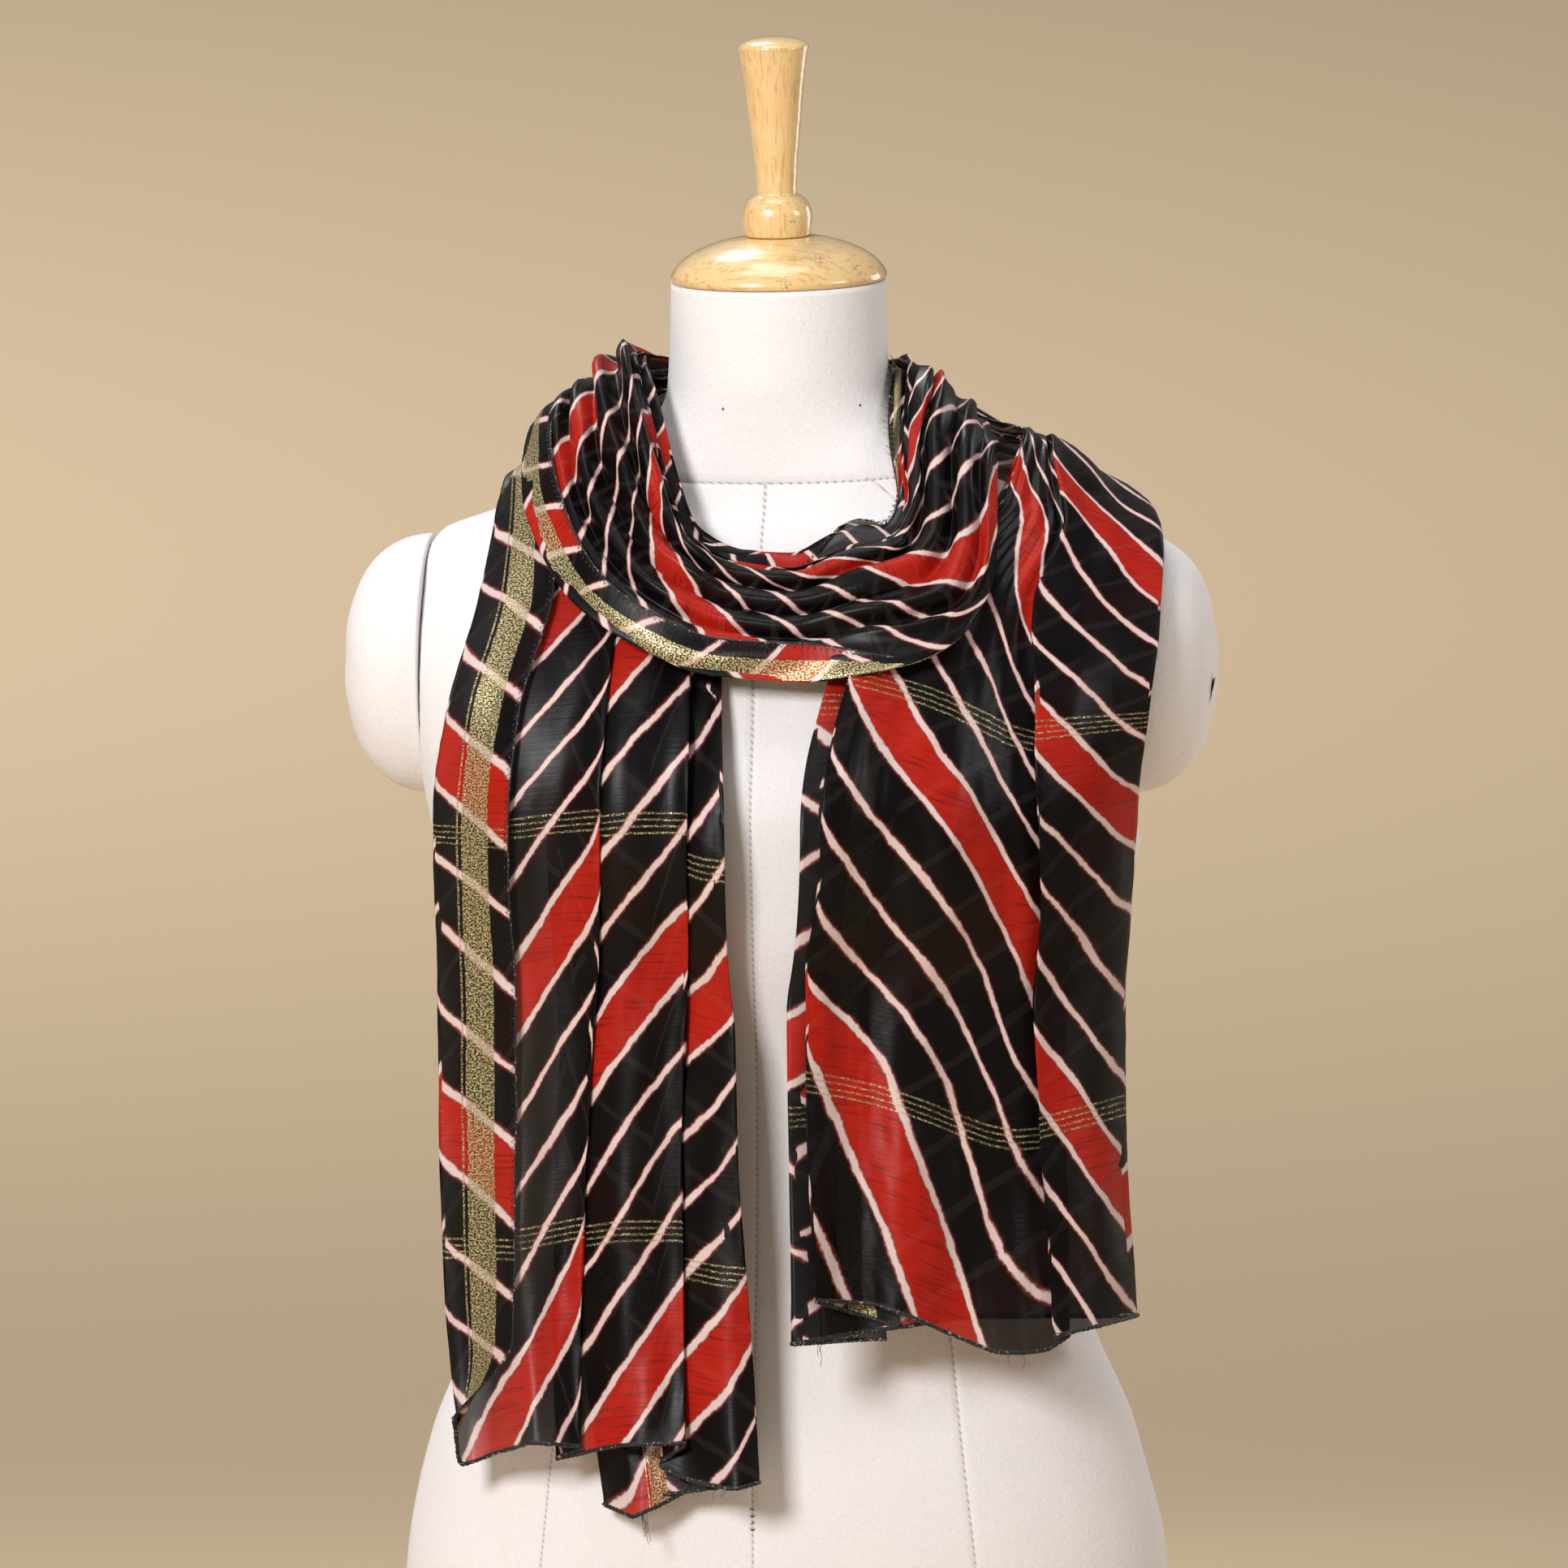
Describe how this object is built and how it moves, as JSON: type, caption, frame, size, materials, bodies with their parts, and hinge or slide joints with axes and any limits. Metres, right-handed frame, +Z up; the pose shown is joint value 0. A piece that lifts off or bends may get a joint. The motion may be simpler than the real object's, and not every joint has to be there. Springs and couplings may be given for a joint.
{
  "type": "leheriya stole on a dress form",
  "caption": "Sheer black, red and white leheriya stole, pleated and wrapped once round the neck of a white fabric-covered dress form with a turned wooden top.",
  "frame": {"origin": "middle of the dress form's flat base", "axes": "+Z up the form, the front of the form faces -Y, +X towards the wearer's left arm"},
  "size_m": [0.4562, 0.2922, 0.8513],
  "materials": {
    "stole_cloth": "sheer, soft sheen",
    "form_cover": "matt, fine weave",
    "turned_wood": "clear gloss varnish"
  },
  "bodies": {
    "root": {"stole": "stole_cloth", "torso": "form_cover", "arm_cap_left": "form_cover", "arm_cap_right": "form_cover", "neck_cap": "turned_wood", "finial": "turned_wood"}
  },
  "joints": []
}
